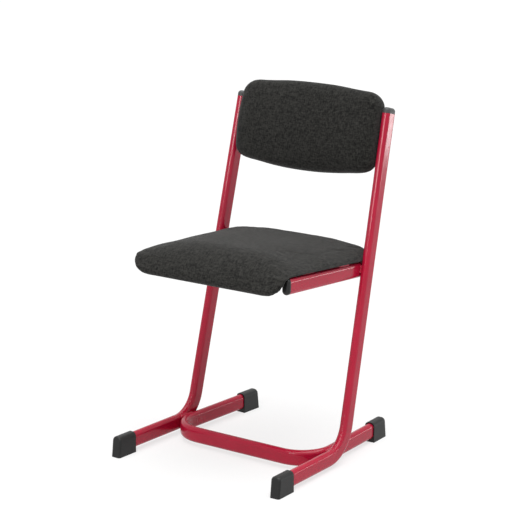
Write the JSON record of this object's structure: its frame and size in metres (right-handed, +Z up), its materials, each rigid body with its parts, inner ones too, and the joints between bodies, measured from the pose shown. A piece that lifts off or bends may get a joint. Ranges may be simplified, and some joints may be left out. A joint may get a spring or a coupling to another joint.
{
  "type": "teacher chair",
  "caption": "Teacher chair with a welded flat-oval tube frame on capped feet, an upholstered waterfall-front seat and an upholstered backrest held between leaning uprights.",
  "frame": {"origin": "on the floor, below the middle of the chair's bounding box", "axes": "+Z up, the sitter faces -Y, +X to the sitter's left"},
  "size_m": [0.483, 0.5045, 0.8481],
  "materials": {
    "frame_paint": "glossy powder coat, ruby red",
    "foot_plastic": "moulded, dark grey",
    "dome_plastic": "moulded, mid grey",
    "plug_plastic": "moulded, black",
    "cover_fabric": "woven wool-like, charcoal heather",
    "foam": "cut polyurethane foam",
    "plywood": "moulded beech plywood, bare",
    "zinc_steel": "zinc plated"
  },
  "bodies": {
    "root": {"left_side_frame": "frame_paint", "right_side_frame": "frame_paint", "base_tube": "frame_paint", "left_seat_arm": "frame_paint", "right_seat_arm": "frame_paint", "left_seat_lugs": "frame_paint", "right_seat_lugs": "frame_paint", "seat_cross_rail": "frame_paint", "left_backrest_tab": "frame_paint", "right_backrest_tab": "frame_paint", "arm_weld_beads": "frame_paint", "base_weld_beads": "frame_paint", "left_front_foot_cap": "foot_plastic", "right_front_foot_cap": "foot_plastic", "left_rear_foot_cap": "foot_plastic", "right_rear_foot_cap": "foot_plastic", "left_upright_cap": "dome_plastic", "right_upright_cap": "dome_plastic", "left_arm_front_plug": "plug_plastic", "right_arm_front_plug": "plug_plastic", "left_arm_rear_plug": "plug_plastic", "right_arm_rear_plug": "plug_plastic", "seat_shell": "plywood", "seat_foam": "foam", "seat_cover": "cover_fabric", "seat_t_nuts": "zinc_steel", "seat_screws": "zinc_steel", "backrest_board": "plywood", "backrest_foam": "foam", "backrest_cover": "cover_fabric", "backrest_t_nuts": "zinc_steel", "backrest_screws": "zinc_steel"}
  },
  "joints": []
}
